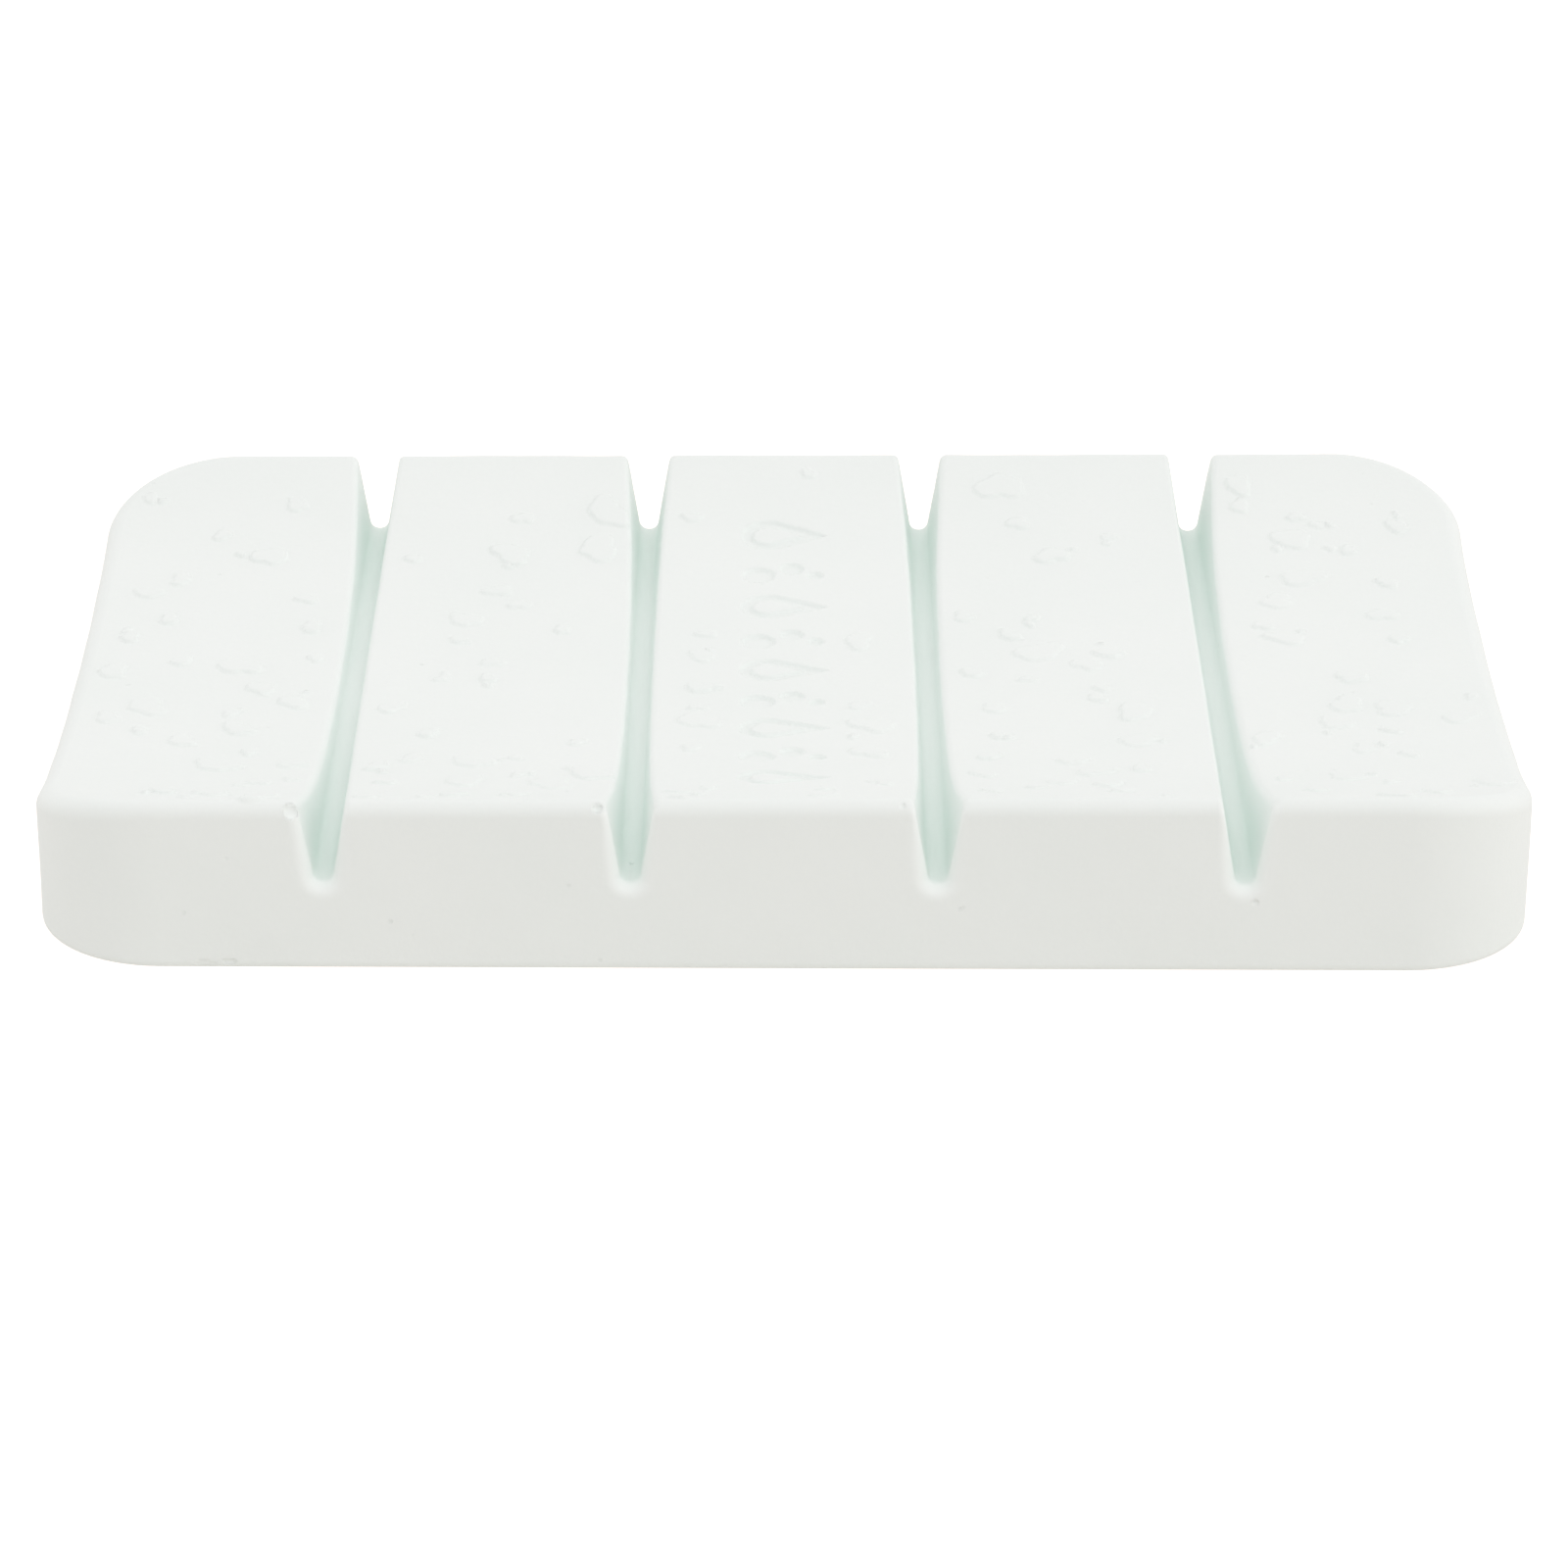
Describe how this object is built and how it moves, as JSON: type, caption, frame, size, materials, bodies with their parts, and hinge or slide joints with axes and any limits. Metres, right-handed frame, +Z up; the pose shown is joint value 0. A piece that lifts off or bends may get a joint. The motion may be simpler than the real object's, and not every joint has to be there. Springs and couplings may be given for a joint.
{
  "type": "soap dish",
  "caption": "Low rounded rectangular mineral block with a dished, droplet-textured top, open-ended drain grooves from front to back, and soft pads let into its underside.",
  "frame": {"origin": "under the middle of the block, on the plane the pads stand on", "axes": "+X along the block's length, across the ribs; +Y along the drain grooves, from front to back; +Z up, out of the dished top"},
  "size_m": [0.13, 0.086, 0.0167],
  "materials": {
    "cast_mineral": "matte, fine-grained, very pale mint white",
    "pad_silicone": "translucent matte silicone",
    "adhesive_film": "thin sticky film"
  },
  "bodies": {
    "root": {"dish_block": "cast_mineral", "foot_pad_front_left": "pad_silicone", "foot_pad_front_right": "pad_silicone", "foot_pad_rear_left": "pad_silicone", "foot_pad_rear_right": "pad_silicone", "adhesive_front_left": "adhesive_film", "adhesive_front_right": "adhesive_film", "adhesive_rear_left": "adhesive_film", "adhesive_rear_right": "adhesive_film"}
  },
  "joints": []
}
